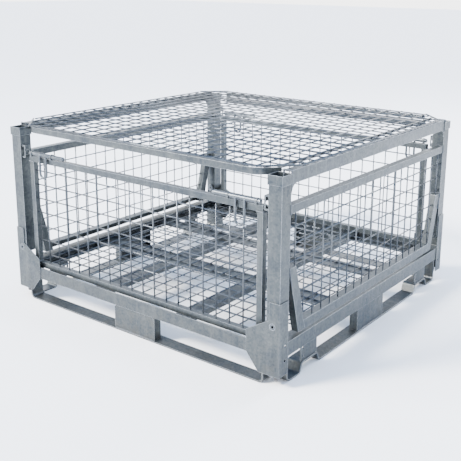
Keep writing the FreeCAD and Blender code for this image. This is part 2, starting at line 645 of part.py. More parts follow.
def bolt_guide(from_tip):
    """Round-topped plate on the panel's top rail that guides the bolt at +X."""
    x = BOLT_TIP - from_tip
    start, end = V(x - GUIDE_T / 2, BOLT_Y, BOLT_Z), V(x + GUIDE_T / 2, BOLT_Y, BOLT_Z)
    plate = box(start.x, end.x, BOLT_Y - BOLT_LIFT, BOLT_Y + BOLT_LIFT, PANEL_TOP, BOLT_Z)
    plate = plate.fuse(cylinder(BOLT_LIFT, start, end)).removeSplitter()
    return plate.cut(cylinder(BOLT_R + BOLT_FIT, start, end))


def panel_pieces():
    """Every node of the rear panel, by name."""
    low, high = PANEL_LOW + PANEL_TUBE, PANEL_TOP - PANEL_TUBE
    stile = panel_tube(PANEL_END - PANEL_TUBE, PANEL_END, low, high, along_x=False)
    guides = [bolt_guide(d) for d in GUIDE_FROM_TIP]
    return {
        "top_rail": panel_tube(-PANEL_END, PANEL_END, high, PANEL_TOP, along_x=True),
        "stiles": group([stile, mirror_x(stile)]),
        "bottom_bar": panel_bottom_bar(),
        "mesh": panel_mesh(),
        "bolt_guides": group(guides + [mirror_x(g) for g in guides]),
    }


def slide_bolt():
    """Round bolt at +X, +Y, with a bent pull handle hanging outside the top rail."""
    rod = cylinder(BOLT_R, V(BOLT_TIP - BOLT_LENGTH, BOLT_Y, BOLT_Z), V(BOLT_TIP, BOLT_Y, BOLT_Z))
    rod = rod.makeChamfer(BOLT_R / 4, [e for e in rod.Edges if e.Closed and len(e.Vertexes) == 1])
    outside = max(PANEL_Y + PANEL_TUBE / 2 + PULL_CLEAR + PULL_R, BOLT_Y)
    x0, x1 = (BOLT_TIP - d for d in PULL_FROM_TIP)
    bow = abs(x1 - x0) / 2
    low = BOLT_Z - PULL_DROP + PULL_R + bow
    pull = []
    for x in (x0, x1):
        pull.append(cylinder(PULL_R, V(x, outside, low), V(x, outside, BOLT_Z)))
    ring = Part.makeTorus(bow, PULL_R, V((x0 + x1) / 2, outside, low), V(0, 1, 0))
    below = box(min(x0, x1) - PULL_R, max(x0, x1) + PULL_R, outside - PULL_R, outside + PULL_R,
                low - bow - PULL_R, low)
    return rod.fuse(pull + [ring.common(below)]).removeSplitter()


# ---- lid ------------------------------------------------------------------------------------------------
def lid_front_line(end):
    """The lid's front edge, bent along both cut corners as far as x = end, as (x, y) points."""
    corner, stop = (LID_BAR_END, -LID_Y), (end, end - LID_CUT)
    right = bend(corner, (0, -LID_Y), stop, LID_BEND, steps=8) + [stop]
    return [(-x, y) for x, y in reversed(right)] + right


def lid_outline():
    """The lid's outline with its four cut corners, as (x, y) points."""
    rear = [(LID_X, LID_CUT - LID_X), (LID_BAR_END, LID_Y)]
    return lid_front_line(LID_X) + rear + [(-x, y) for x, y in reversed(rear)]


def lid_mesh():
    """Mesh of the lid, with a wire along each edge, cut at the corners."""
    edge_x, edge_y = LID_X - WIRE / 2, LID_Y - WIRE / 2
    mesh = grid(spread(edge_x - WIRE, PITCH) + [-edge_x, edge_x], spread(edge_y - WIRE, PITCH) + [-edge_y, edge_y],
                LID_X, -LID_Y, LID_Y, lambda u, v: V(u, v, LID_Z), V(0, 0, WIRE))
    return mesh.common(prism([V(x, y, LID_Z) for x, y in lid_outline()], V(0, 0, WIRE)))


def lid_front_bar():
    """Angle under the front edge of the lid, its web bent along both cut corners."""
    low = LID_Z - LID_BAR_DEPTH
    web = strap(lid_front_line(LID_STRIP_X), LID_BAR_T, lambda u, v: V(u, v, low), V(0, 0, LID_BAR_DEPTH))
    end = LID_BAR_END - LID_BEND / 2
    flange = box(-end, end, -LID_Y, LID_BAR_WIDTH - LID_Y, LID_Z - LID_BAR_T, LID_Z)
    return web.fuse(flange).removeSplitter()


def lid_rear_bar():
    """Flat bar under the rear edge of the lid, bored at both ends for the hinge pins."""
    half = LID_REAR_BAR_WIDTH / 2
    bar = box(-REAR_BAR_END, REAR_BAR_END, LID_HINGE_Y - half, LID_HINGE_Y + half,
              LID_Z - LID_REAR_BAR_DEPTH, LID_Z)
    for side in (-1, 1):
        bar = bar.cut(cylinder(LID_PIN_R + LID_PIN_FIT, V(side * REAR_BAR_END, LID_HINGE_Y, LID_HINGE_Z),
                               V(side * (REAR_BAR_END - LID_PIN_DEPTH), LID_HINGE_Y, LID_HINGE_Z)))
    return bar


def lid_lug():
    """Upright lug at the right end of the rear rail, which holds a hinge pin."""
    x0 = REAR_BAR_END + LID_LUG_GAP
    start, end = V(x0, LID_HINGE_Y, LID_HINGE_Z), V(x0 + LID_LUG_T, LID_HINGE_Y, LID_HINGE_Z)
    plate = box(x0, x0 + LID_LUG_T, LID_HINGE_Y - LID_LUG_R, LID_HINGE_Y + LID_LUG_R,
                LID_HINGE_Z - CARRIER_DROP - CARRIER_DEPTH, LID_HINGE_Z)
    return plate.fuse(cylinder(LID_LUG_R, start, end)).cut(cylinder(LID_PIN_R, start, end))


def lid_carrier():
    """Angle across the rear that carries the lid's hinge on a lug at each end."""
    end = REAR_BAR_END + LID_LUG_GAP + LID_LUG_T
    high = LID_HINGE_Z - CARRIER_DROP
    web = box(-end, end, LID_Y - LID_BAR_T, LID_Y, high - CARRIER_DEPTH, high)
    flange = box(-end, end, LID_Y - CARRIER_WIDTH, LID_Y, high - LID_BAR_T, high)
    return web.fuse([flange, lid_lug(), mirror_x(lid_lug())]).removeSplitter()


def lid_hinge_pin():
    """Pin from the right-hand lug into the end of the lid's rear bar."""
    return cylinder(LID_PIN_R, V(REAR_BAR_END + LID_LUG_GAP - LID_PIN_DEPTH, LID_HINGE_Y, LID_HINGE_Z),
                    V(REAR_BAR_END + LID_LUG_GAP + LID_LUG_T, LID_HINGE_Y, LID_HINGE_Z))


def lid_side_strip():
    """Flat under the right edge of the lid's mesh, inside the top rail."""
    end = LID_CUT - LID_STRIP_X
    inner = LID_STRIP_X - LID_SIDE_STRIP
    front = LID_BAR_T * math.sqrt(2) - end
    return box(inner, LID_STRIP_X, front, end, LID_Z - LID_BAR_T, LID_Z)


def corner_rod():
    """Round locating rod beside the cut corner of the lid at +X, +Y."""
    line = LID_CUT + ROD_R * math.sqrt(2)
    z = LID_Z + LAYERS - ROD_R
    x0, x1 = line - LID_Y, LID_X - ROD_R
    return cylinder(ROD_R, V(x0, LID_Y, z), V(x1, line - x1, z))


# ---- write every node -----------------------------------------------------------------------------------
def write_base():
    save("base_rear_rail", end_rail())
    save("base_front_rail", mirror_y(end_rail()))
    save("base_right_rail", side_rail())
    save("base_left_rail", mirror_x(side_rail()))
    save("floor_bearers_long", group([long_bearer(), mirror_x(long_bearer())]))
    save("floor_bearers_cross", group([cross_bearer(), mirror_y(cross_bearer())]))
    save("floor_mesh", floor_mesh())
    save("front_skid", end_skid())
    save("rear_skid", mirror_y(end_skid()))
    save("right_skid", side_skid())
    save("left_skid", mirror_x(side_skid()))
    save("centre_blocks", centre_blocks())
    save("leg_plates", leg_plates())
    sleeve = corner_sleeve()
    save("sleeve_rear_right", sleeve)
    save("sleeve_rear_left", mirror_x(sleeve))
    save("sleeve_front_right", mirror_y(sleeve))
    save("sleeve_front_left", mirror_x(mirror_y(sleeve)))
    save("stacking_feet", four(stacking_foot()))
    save("post_pivot_pins", four(pivot_pin()))
    save("panel_hinge_lugs", four(hinge_lug()))
    save("panel_hinge_pins", four(hinge_pin()))


def write_moving_frames():
    for name, shape in end_frame_pieces().items():
        save("right_end_" + name, shape)
        save("left_end_" + name, mirror_x(shape))
    for name, shape in panel_pieces().items():
        save("rear_panel_" + name, shape)
        save("front_panel_" + name, mirror_y(shape))
    bolt = slide_bolt()
    save("slide_bolt_rear_right", bolt)
    save("slide_bolt_rear_left", mirror_x(bolt))
    save("slide_bolt_front_right", mirror_y(bolt))
    save("slide_bolt_front_left", mirror_x(mirror_y(bolt)))


def write_lid():
    strip = lid_side_strip()
    save("lid_mesh", lid_mesh())
    save("lid_front_bar", lid_front_bar())
    save("lid_rear_bar", lid_rear_bar())
    save("lid_side_strips", group([strip, mirror_x(strip)]))
    save("lid_corner_rods", four(corner_rod()))
    save("lid_carrier_rail", lid_carrier())
    save("lid_hinge_pins", group([lid_hinge_pin(), mirror_x(lid_hinge_pin())]))


def main():
    os.makedirs("parts", exist_ok=True)
    write_base()
    write_moving_frames()
    write_lid()


main()
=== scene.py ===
import json
import math

import bmesh
import bpy
from bpy.props import FloatProperty, FloatVectorProperty, IntProperty, PointerProperty
from mathutils import Matrix, Vector


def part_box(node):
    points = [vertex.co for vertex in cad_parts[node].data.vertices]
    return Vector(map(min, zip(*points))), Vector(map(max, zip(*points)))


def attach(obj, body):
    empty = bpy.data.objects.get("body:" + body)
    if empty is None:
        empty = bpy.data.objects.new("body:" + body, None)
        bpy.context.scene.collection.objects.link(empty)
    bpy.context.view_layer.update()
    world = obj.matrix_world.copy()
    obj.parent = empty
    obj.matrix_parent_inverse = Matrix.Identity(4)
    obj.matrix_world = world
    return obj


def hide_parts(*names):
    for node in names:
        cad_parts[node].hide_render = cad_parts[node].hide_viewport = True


bl_info = {
    "name": "Wire Mesh Container",
    "version": (1, 0, 0),
    "blender": (4, 5, 0),
    "location": "View3D > Sidebar > Container",
    "description": "Welded mesh, softened sheet metal, weld beads and zinc finishes for a mesh container",
    "category": "Object",
}

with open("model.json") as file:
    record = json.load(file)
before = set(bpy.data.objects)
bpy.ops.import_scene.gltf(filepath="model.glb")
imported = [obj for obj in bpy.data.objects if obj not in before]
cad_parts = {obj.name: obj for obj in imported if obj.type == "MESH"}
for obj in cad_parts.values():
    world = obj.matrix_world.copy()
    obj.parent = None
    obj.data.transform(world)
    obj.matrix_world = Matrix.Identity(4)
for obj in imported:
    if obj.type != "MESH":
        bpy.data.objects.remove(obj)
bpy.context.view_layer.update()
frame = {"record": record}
BODIES = frame["record"]["behaviour"]["bodies"]

# Nodes with a mesh of their own, by the body that they ride on.
MESHES = {
    "floor_mesh": "base",
    "left_end_mesh": "left_end",
    "right_end_mesh": "right_end",
    "front_panel_mesh": "front_panel",
    "rear_panel_mesh": "rear_panel",
    "lid_mesh": "lid",
}
BRACE_WIDTH = 0.035              # of the tube beside each end mesh
BLOCK_WIDTH = 0.164              # welded length of the blocks in the middle of each edge
REAR_BAR_SHORT = 0.003           # from an end of the lid's rear bar to the start of its cut corner
TOP_RAIL_BARE = 0.025            # unwelded height at the foot of an end's top rail
BRACE_SEAM_IN = 0.014            # how far a seam runs inwards along the top of a brace
BRACE_SEAM_DOWN = 0.055          # and how far down
SLEEVE_SEAM_SHORT = 0.006        # from an edge of a base rail to the seam of a sleeve


# ---- node building -------------------------------------------------------------------------
class Maths:
    """A socket that can be used in sums: each operator adds one Math node."""

    def __init__(self, graph, socket):
        self.graph = graph
        self.socket = socket

    def _math(self, operation, *values):
        node = self.graph.node("ShaderNodeMath", {"operation": operation}, dict(enumerate(values)))
        return Maths(self.graph, node.outputs[0])

    def __add__(self, other):
        return self._math("ADD", self, other)

    def __radd__(self, other):
        return self._math("ADD", other, self)

    def __sub__(self, other):
        return self._math("SUBTRACT", self, other)

    def __rsub__(self, other):
        return self._math("SUBTRACT", other, self)

    def __mul__(self, other):
        return self._math("MULTIPLY", self, other)

    def __rmul__(self, other):
        return self._math("MULTIPLY", other, self)

    def __truediv__(self, other):
        return self._math("DIVIDE", self, other)

    def __lt__(self, other):
        return self._math("LESS_THAN", self, other)

    def __abs__(self):
        return self._math("ABSOLUTE", self)

    def least(self, other):
        return self._math("MINIMUM", self, other)

    def most(self, other):
        return self._math("MAXIMUM", self, other)

    def clamp(self):
        return self.most(0.0).least(1.0)


class Graph:
    """A node tree with one method that adds any node."""

    def __init__(self, tree):
        self.tree = tree

    def node(self, kind, settings=None, inputs=None):
        made = self.tree.nodes.new(kind)
        for name, value in (settings or {}).items():
            if name == "stops":
                self._stops(made.color_ramp, value)
            else:
                setattr(made, name, value)
        for name, value in (inputs or {}).items():
            self.feed(made.inputs[name], value)
        return made

    def _stops(self, ramp, stops):
        while len(ramp.elements) < len(stops):
            ramp.elements.new(0.5)
        for element, (place, grey) in zip(ramp.elements, stops):
            element.position = place
            element.color = (grey, grey, grey, 1.0)

    def feed(self, socket, value):
        if isinstance(value, Maths):
            value = value.socket
        if isinstance(value, bpy.types.NodeSocket):
            self.tree.links.new(value, socket)
        else:
            socket.default_value = value

    def value(self, node, output=0):
        return Maths(self, node.outputs[output])


# ---- finishes --------------------------------------------------------------------------------
STAIN = (0.18, 0.185, 0.18)      # white stain, in streaks
LOW_BLOTCH_COLOUR = (0.055, 0.052, 0.046)     # darker blotches near the floor
WORN_AND_HIGHLIT_EDGE = (0.52, 0.56, 0.60)      # zinc on lighter edges: partly wear, partly a painted highlight
LOW_BLOTCH_HEIGHT = 0.16               # above the floor, where the darker blotches end
STREAKS = (60.0, 60.0, 5.0)      # scale of the streaks, long from top to bottom
PATCHES = 9.0                    # scales of the noise, from wide patches to grain
BLOTCHES = 38.0
GRAIN = 900.0
EDGE_MASK_NOISE = 70.0                     # of the noise that breaks up the lighter edges
EDGE_MASK_GAIN = 9.0                  # times one minus the cosine of an edge's turn
EDGE_MASK_FLOOR = 0.4                 # the least share of it that the noise leaves
BUMP_STRENGTH = 0.22
BUMP_HEIGHT = 0.0006
FOOT_LIGHT = (0.09, 0.09, 0.10)
FOOT_DARK = (0.025, 0.025, 0.03)


def mix_colour(graph, factor, a, b):
    """Mix two colours by a factor. The colour sockets share their names, so they go by number."""
    node = graph.node("ShaderNodeMix", {"data_type": "RGBA"})
    graph.feed(node.inputs["Factor"], factor)
    graph.feed(node.inputs[6], a)
    graph.feed(node.inputs[7], b)
    return node.outputs[2]


def noise(graph, where, scale, detail, roughness=0.5):
    node = graph.node("ShaderNodeTexNoise", None, {
        "Vector": where, "Scale": scale, "Detail": detail, "Roughness": roughness})
    return graph.value(node, "Fac")


def ramp(graph, factor, stops):
    node = graph.node("ShaderNodeValToRGB", {"stops": stops}, {"Fac": factor})
    return Maths(graph, node.outputs["Color"])


def zinc(name, light, dark, spangle_size, roughness, metallic, edge_width):
    """Galvanised steel: spangle, dull patches, darker blotches near the floor and lighter edges, partly wear
    and partly a painted highlight.
    """
    material = bpy.data.materials.new(name)
    material.use_nodes = True
    tree = material.node_tree
    tree.nodes.clear()
    graph = Graph(tree)
    where = graph.node("ShaderNodeTexCoord").outputs["Object"]

    cells = graph.node("ShaderNodeTexVoronoi", {"feature": "F1"}, {
        "Vector": where, "Scale": 1.0 / spangle_size, "Randomness": 1.0})
    tone = graph.node("ShaderNodeSeparateColor", None, {"Color": cells.outputs["Color"]})
    spangle = graph.value(tone, "Red")
    cloud = ramp(graph, noise(graph, where, PATCHES, 6.0, 0.6), [(0.32, 0.0), (0.70, 1.0)])
    blotch = ramp(graph, noise(graph, where, BLOTCHES, 5.0, 0.65), [(0.42, 0.0), (0.66, 1.0)])
    fine = noise(graph, where, GRAIN, 3.0, 0.6)
    height = graph.value(graph.node("ShaderNodeSeparateXYZ", None, {"Vector": where}), "Z")
    near_floor = (1.0 - height / LOW_BLOTCH_HEIGHT).clamp()
    streaks = graph.node("ShaderNodeMapping", None, {"Vector": where, "Scale": STREAKS})
    streak = ramp(graph, noise(graph, streaks.outputs[0], 1.0, 4.0, 0.6), [(0.50, 0.0), (0.74, 1.0)])

    shade = (spangle * 0.28 + cloud * 0.42 + blotch * 0.20 + fine * 0.10).clamp()
    colour = mix_colour(graph, shade, (*dark, 1.0), (*light, 1.0))
    colour = mix_colour(graph, streak * 0.22, colour, (*STAIN, 1.0))
    # Darker blotches towards the floor, which also make the zinc rougher.
    low_blotches = near_floor * blotch * 0.55
    colour = mix_colour(graph, low_blotches, colour, (*LOW_BLOTCH_COLOUR, 1.0))
    # Rounded edges mixed towards a light zinc: partly wear, partly a painted highlight.
    wear_and_highlight = 0.0
    if edge_width:
        wear_and_highlight = edge_wear_and_highlight(graph, where, edge_width)
        colour = mix_colour(graph, wear_and_highlight * 0.7, colour, (*WORN_AND_HIGHLIT_EDGE, 1.0))

    gloss = roughness + 0.18 * cloud - 0.10 * spangle + 0.20 * low_blotches - 0.10 * wear_and_highlight
    relief = spangle * 0.35 + fine * 0.25 + blotch * 0.4
    bump = graph.node("ShaderNodeBump", None, {
        "Strength": BUMP_STRENGTH, "Distance": BUMP_HEIGHT, "Height": relief})
    shader = graph.node("ShaderNodeBsdfPrincipled", None, {
        "Base Color": colour, "Roughness": gloss.clamp(), "Metallic": metallic,
        "Normal": bump.outputs[0]})
    graph.node("ShaderNodeOutputMaterial", None, {"Surface": shader.outputs[0]})
    return material


def edge_wear_and_highlight(graph, where, width):
    """How far a point is on a rounded edge, broken up by noise: the mask of the lighter edges, partly wear
    and partly a painted highlight.
    """
    rounded = graph.node("ShaderNodeBevel", {"samples": 4}, {"Radius": width})
    flat = graph.node("ShaderNodeNewGeometry")
    facing = graph.node("ShaderNodeVectorMath", {"operation": "DOT_PRODUCT"}, {
        0: rounded.outputs[0], 1: flat.outputs["Normal"]})
    turned = (1.0 - Maths(graph, facing.outputs["Value"])) * EDGE_MASK_GAIN
    return (turned * (EDGE_MASK_FLOOR + noise(graph, where, EDGE_MASK_NOISE, 3.0))).clamp()


class FinishSettings(bpy.types.PropertyGroup):
    """Colours of the zinc finishes."""

    sheet_light: FloatVectorProperty(
        name="Sheet, light", description="Lighter zinc of the sheet and tube",
        subtype="COLOR", size=3, min=0.0, max=1.0, default=(0.098, 0.108, 0.106))
    sheet_dark: FloatVectorProperty(
        name="Sheet, dark", description="Darker zinc of the sheet and tube",
        subtype="COLOR", size=3, min=0.0, max=1.0, default=(0.017, 0.025, 0.036))
    wire_light: FloatVectorProperty(
        name="Wire, light", description="Lighter zinc of the wire",
        subtype="COLOR", size=3, min=0.0, max=1.0, default=(0.145, 0.16, 0.172))
    wire_dark: FloatVectorProperty(
        name="Wire, dark", description="Darker zinc of the wire",
        subtype="COLOR", size=3, min=0.0, max=1.0, default=(0.022, 0.030, 0.046))
    spangle: FloatProperty(
        name="Spangle", description="Size of the crystals in the zinc",
        subtype="DISTANCE", unit="LENGTH", default=0.006, min=0.001)


class MeshSettings(bpy.types.PropertyGroup):
    """Sizes of the welded wire mesh."""

    pitch: FloatProperty(
        name="Pitch", description="Distance from wire to wire",
        subtype="DISTANCE", unit="LENGTH", default=0.051, min=0.01)
    wire: FloatProperty(
        name="Wire", description="Diameter of the wire",
        subtype="DISTANCE", unit="LENGTH", default=0.0045, min=0.001)
    sink: FloatProperty(
        name="Sink", description="How far crossing wires are pressed into each other",
        subtype="DISTANCE", unit="LENGTH", default=0.0005, min=0.0)
    sides: IntProperty(
        name="Sides", description="Number of sides of a wire", default=10, min=6, max=24)
    end_weld: FloatProperty(
        name="End weld", description="Radius of the weld at the end of each wire",
        subtype="DISTANCE", unit="LENGTH", default=0.0036, min=0.0)


class SheetSettings(bpy.types.PropertyGroup):
    """Softened edges of the sheet metal and the tubes."""

    fold: FloatProperty(
        name="Edge", description="Radius of the edges of cut sheet",
        subtype="DISTANCE", unit="LENGTH", default=0.0007, min=0.0)
    tube: FloatProperty(
        name="Tube corner", description="Radius of the long corners of the tubes",
        subtype="DISTANCE", unit="LENGTH", default=0.0011, min=0.0)
    segments: IntProperty(
        name="Segments", description="Steps in each rounded edge", default=2, min=1, max=6)


class WeldSettings(bpy.types.PropertyGroup):
    """Weld beads where the pieces of a frame meet."""

    radius: FloatProperty(
        name="Radius", description="Half the width of a bead",
        subtype="DISTANCE", unit="LENGTH", default=0.0030, min=0.0005)
    spacing: FloatProperty(
        name="Spacing", description="Distance from ripple to ripple",
        subtype="DISTANCE", unit="LENGTH", default=0.0024, min=0.0005)
    uneven: FloatProperty(
        name="Uneven", description="How much the ripples differ in size", default=0.25, min=0.0, max=0.9)


class StageSettings(bpy.types.PropertyGroup):
    """Camera, floor and lights."""

    eye: FloatVectorProperty(
        name="Eye", description="Place of the camera",
        subtype="TRANSLATION", unit="LENGTH", size=3, default=(1.71921, -2.24708, 1.14269))
    target: FloatVectorProperty(
        name="Target", description="Point that the camera faces",
        subtype="TRANSLATION", unit="LENGTH", size=3, default=(0.06891, 0.0, 0.42818))
    roll: FloatProperty(
        name="Roll", description="Turn of the camera about its line of sight",
        subtype="ANGLE", unit="ROTATION", default=0.0115)
    lens: FloatProperty(name="Lens", description="Focal length in millimetres", default=61.16, min=10.0)
    shift: FloatVectorProperty(
        name="Shift", description="Shift of the frame, in picture widths", size=2, default=(-0.0491, -0.1091))
    sun: FloatProperty(
        name="Main light", description="Strength of the soft main light", default=11.0, min=0.0)
    key: FloatProperty(
        name="Key light", description="Power of the front light in watts", default=350.0, min=0.0)
    rim: FloatProperty(
        name="Rim light", description="Power of the rear light in watts", default=300.0, min=0.0)
    sky: FloatProperty(name="Sky", description="Strength of the light all round", default=4.6, min=0.0)
    zenith: FloatVectorProperty(
        name="Zenith", description="Colour of the light from straight above",
        subtype="COLOR", size=3, min=0.0, max=1.0, default=(0.12, 0.24, 0.46))
    floor: FloatVectorProperty(
        name="Floor", description="Colour of the floor",
        subtype="COLOR", size=3, min=0.0, max=1.0, default=(0.95, 0.95, 0.95))


SETTINGS = {
    "container_finish": FinishSettings,
    "container_mesh": MeshSettings,
    "container_sheet": SheetSettings,
    "container_weld": WeldSettings,
    "container_stage": StageSettings,
}


def finishes(context):
    """The materials, made once and found by name afterwards."""
    if "zinc_sheet" not in bpy.data.materials:
        s = context.scene.container_finish
        size = s.spangle
        # After the colours: spangle, roughness, metallic part and width of the lighter edges, partly wear and
        # partly a painted highlight.
        zinc("zinc_sheet", s.sheet_light, s.sheet_dark, size, 0.36, 0.70, 0.0016)
        zinc("zinc_wire", s.wire_light, s.wire_dark, size * 0.5, 0.30, 0.80, 0.0)
        zinc("zinc_bar", s.wire_light, s.sheet_dark, size * 0.6, 0.28, 0.80, 0.0010)
        zinc("weld_metal", s.wire_light, s.wire_dark, size * 0.3, 0.45, 0.55, 0.0)
        zinc("foot_steel", FOOT_LIGHT, FOOT_DARK, size, 0.55, 0.30, 0.0)
    return bpy.data.materials


# ---- plain meshes --------------------------------------------------------------------------------
def bake(host, name, context):
    """The evaluated shape of a host object, as a plain mesh object in its place."""
    shape = bpy.data.meshes.new_from_object(
        host.evaluated_get(context.evaluated_depsgraph_get()),
        preserve_all_data_layers=True, depsgraph=context.evaluated_depsgraph_get())
    shape.name = name
    old = host.data
    host.modifiers.clear()
    host.data = shape
    if old.users == 0:
        bpy.data.meshes.remove(old)
    return host


def new_object(name, context, shape=None):
    piece = bpy.data.objects.new(name, shape or bpy.data.meshes.new(name))
    context.scene.collection.objects.link(piece)
    return piece


def set_inputs(modifier, tree, values):
    """Set a modifier's inputs, each found by its name in the tree."""
    names = {item.name: item.identifier for item in tree.interface.items_tree
             if item.item_type == "SOCKET" and item.in_out == "INPUT"}
    for name, value in values.items():
        modifier[names[name]] = value


# ---- welded mesh -------------------------------------------------------------------------------------
END_WELD_SHAPE = (1.0, 1.0, 0.75)   # flattened across the layers
BEYOND = 1000.0                     # further than any mesh reaches, in metres

# The cut corners begin at Cut Start, rise by Cut Slope and reach up to Cut Height. The lower ones
# are always cut, and the upper ones where Upper Cut is 1.
MESH_INPUTS = {
    "Half Width": ("NodeSocketFloat", 0.5),
    "Low": ("NodeSocketFloat", -0.5),
    "High": ("NodeSocketFloat", 0.5),
    "Columns": ("NodeSocketInt", 10),
    "Rows": ("NodeSocketInt", 10),
    "Pitch": ("NodeSocketFloat", 0.05),
    "Wire": ("NodeSocketFloat", 0.0045),
    "Layer Gap": ("NodeSocketFloat", 0.004),
    "Sides": ("NodeSocketInt", 10),
    "End Weld": ("NodeSocketFloat", 0.0036),
    "Cut Start": ("NodeSocketFloat", 10.0),
    "Cut Slope": ("NodeSocketFloat", 1.0),
    "Cut Height": ("NodeSocketFloat", 0.0),
    "Upper Cut": ("NodeSocketFloat", 0.0),
    "Material": ("NodeSocketMaterial", None),
}


def new_tree(name, sockets):
    """An empty Geometry Nodes tree with named inputs."""
    tree = bpy.data.node_groups.new(name, "GeometryNodeTree")
    face = tree.interface
    face.new_socket("Geometry", in_out="INPUT", socket_type="NodeSocketGeometry")
    for title, (kind, default) in sockets.items():
        socket = face.new_socket(title, in_out="INPUT", socket_type=kind)
        if default is not None:
            socket.default_value = default
    face.new_socket("Geometry", in_out="OUTPUT", socket_type="NodeSocketGeometry")
    graph = Graph(tree)
    source = graph.node("NodeGroupInput")
    return graph, {name: Maths(graph, source.outputs[name]) for name in ["Geometry", *sockets]}


def close_tree(graph, geometry, material):
    """Realize the instances, give the material and end the tree."""
    real = graph.node("GeometryNodeRealizeInstances", None, {"Geometry": geometry})
    smooth = graph.node("GeometryNodeSetShadeSmooth", None, {"Geometry": real.outputs[0]})
    done = graph.node("GeometryNodeSetMaterial", None, {"Geometry": smooth.outputs[0], "Material": material})
    graph.node("NodeGroupOutput", None, {"Geometry": done.outputs[0]})
    return graph.tree


def combine(graph, x, y, z):
    return graph.node("ShaderNodeCombineXYZ", None, {"X": x, "Y": y, "Z": z}).outputs[0]


def wire_layer(graph, count, across, start, end, depth, size, upright):
    """Wires side by side: each runs from start to end, at its own place across."""
    points = graph.node("GeometryNodeMeshLine", None, {"Count": count})

    def points_at(along):
        """The layer's points, each moved to a place along its wire."""
        place = combine(graph, across, along, depth) if upright else combine(graph, along, across, depth)
        moved = graph.node("GeometryNodeSetPosition", None, {
            "Geometry": points.outputs[0], "Position": place})
        return moved.outputs[0]

    turn = (-math.pi / 2, 0.0, 0.0) if upright else (0.0, math.pi / 2, 0.0)
    rod = graph.node("GeometryNodeMeshCylinder", None, {
        "Vertices": size["Sides"], "Radius": size["Wire"] * 0.5, "Depth": 1.0})
    wires = graph.node("GeometryNodeInstanceOnPoints", None, {
        "Points": points_at((start + end) * 0.5), "Instance": rod.outputs[0], "Rotation": turn,
        "Scale": combine(graph, 1.0, 1.0, end - start)})
    blob = graph.node("GeometryNodeMeshIcoSphere", None, {"Radius": size["End Weld"], "Subdivisions": 2})
    parts = [wires.outputs[0]]
    for along in (start, end):
        blobs = graph.node("GeometryNodeInstanceOnPoints", None, {
            "Points": points_at(along), "Instance": blob.outputs[0], "Scale": END_WELD_SHAPE})
        parts.append(blobs.outputs[0])
    return parts


def welded_mesh_tree():
    """Two layers of round wires in the XY plane, cut back at the corners."""
    graph, size = new_tree("welded_mesh", MESH_INPUTS)
    index = graph.value(graph.node("GeometryNodeInputIndex"))
    half, low, high = size["Half Width"], size["Low"], size["High"]
    run, slope, rise = size["Cut Start"], size["Cut Slope"], size["Cut Height"]
    upper = size["Upper Cut"]

    across = (index - (size["Columns"] - 1) * 0.5) * size["Pitch"]
    cut = ((abs(across) - run) * slope).most(0.0).least(rise)
    columns = wire_layer(graph, size["Columns"], across, low + cut, high - cut * upper,
                         size["Layer Gap"] * 0.5, size, upright=True)

    up = (low + high) * 0.5 + (index - (size["Rows"] - 1) * 0.5) * size["Pitch"]
    near = (up - low).least(high - up + (1.0 - upper) * BEYOND)
    in_cut = near < rise
    end = half - in_cut * (half - (run + near / slope)).most(0.0)
    rows = wire_layer(graph, size["Rows"], up, 0.0 - end, end,
                      size["Layer Gap"] * -0.5, size, upright=False)

    joined = graph.node("GeometryNodeJoinGeometry")
    for part in columns + rows:
        graph.tree.links.new(part, joined.inputs[0])
    return close_tree(graph, joined.outputs[0], size["Material"])


def mesh_plan(node, context):
    """A mesh node's inputs, and the matrix that stands its XY plane in the node's place."""
    s = context.scene.container_mesh
    lo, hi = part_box(node)
    gap = s.wire - s.sink
    values = {"Wire": s.wire, "Pitch": s.pitch, "Layer Gap": gap, "Sides": s.sides, "End Weld": s.end_weld}
    if node.endswith("end_mesh"):
        side = 1.0 if lo.x > 0 else -1.0
        outer = max(abs(lo.x), abs(hi.x)) - s.wire / 2
        face = side * (outer - gap / 2)
        turn = Matrix(((0, 0, side, face), (side, 0, 0, 0), (0, 1, 0, 0), (0, 0, 0, 1)))
        half, low, high = hi.y, lo.z, hi.z
        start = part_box(node.replace("mesh", "low_rail"))[1].y
        brace_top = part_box(node.replace("mesh", "braces"))[1].z
        stop = half - BRACE_WIDTH
        values.update({"Cut Start": start, "Cut Slope": (brace_top - low) / (stop - start),
                       "Cut Height": brace_top - low})
        rows = True
    elif "panel" in node:
        turn = Matrix(((1, 0, 0, 0), (0, 0, -1, (lo.y + hi.y) / 2), (0, 1, 0, 0), (0, 0, 0, 1)))
        half, low, high = hi.x, lo.z, hi.z
        rows = True
    else:
        turn = Matrix.Translation((0, 0, lo.z + s.wire / 2 + gap / 2))
        half, low, high = hi.x, lo.y, hi.y
        rows = False
        if node == "lid_mesh":
            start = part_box("lid_rear_bar")[1].x + REAR_BAR_SHORT
            values.update({"Cut Start": start, "Cut Slope": 1.0, "Cut Height": half - start, "Upper Cut": 1.0,
                           "End Weld": s.wire * 0.5})
    even = 2 * (int((half - s.wire - s.pitch / 2) // s.pitch) + 1)
    level = int((high - low) // s.pitch) if rows else 2 * (int((high - s.wire - s.pitch / 2) // s.pitch) + 1)
    values.update({"Half Width": half, "Low": low, "High": high, "Columns": even, "Rows": level})
    return values, turn


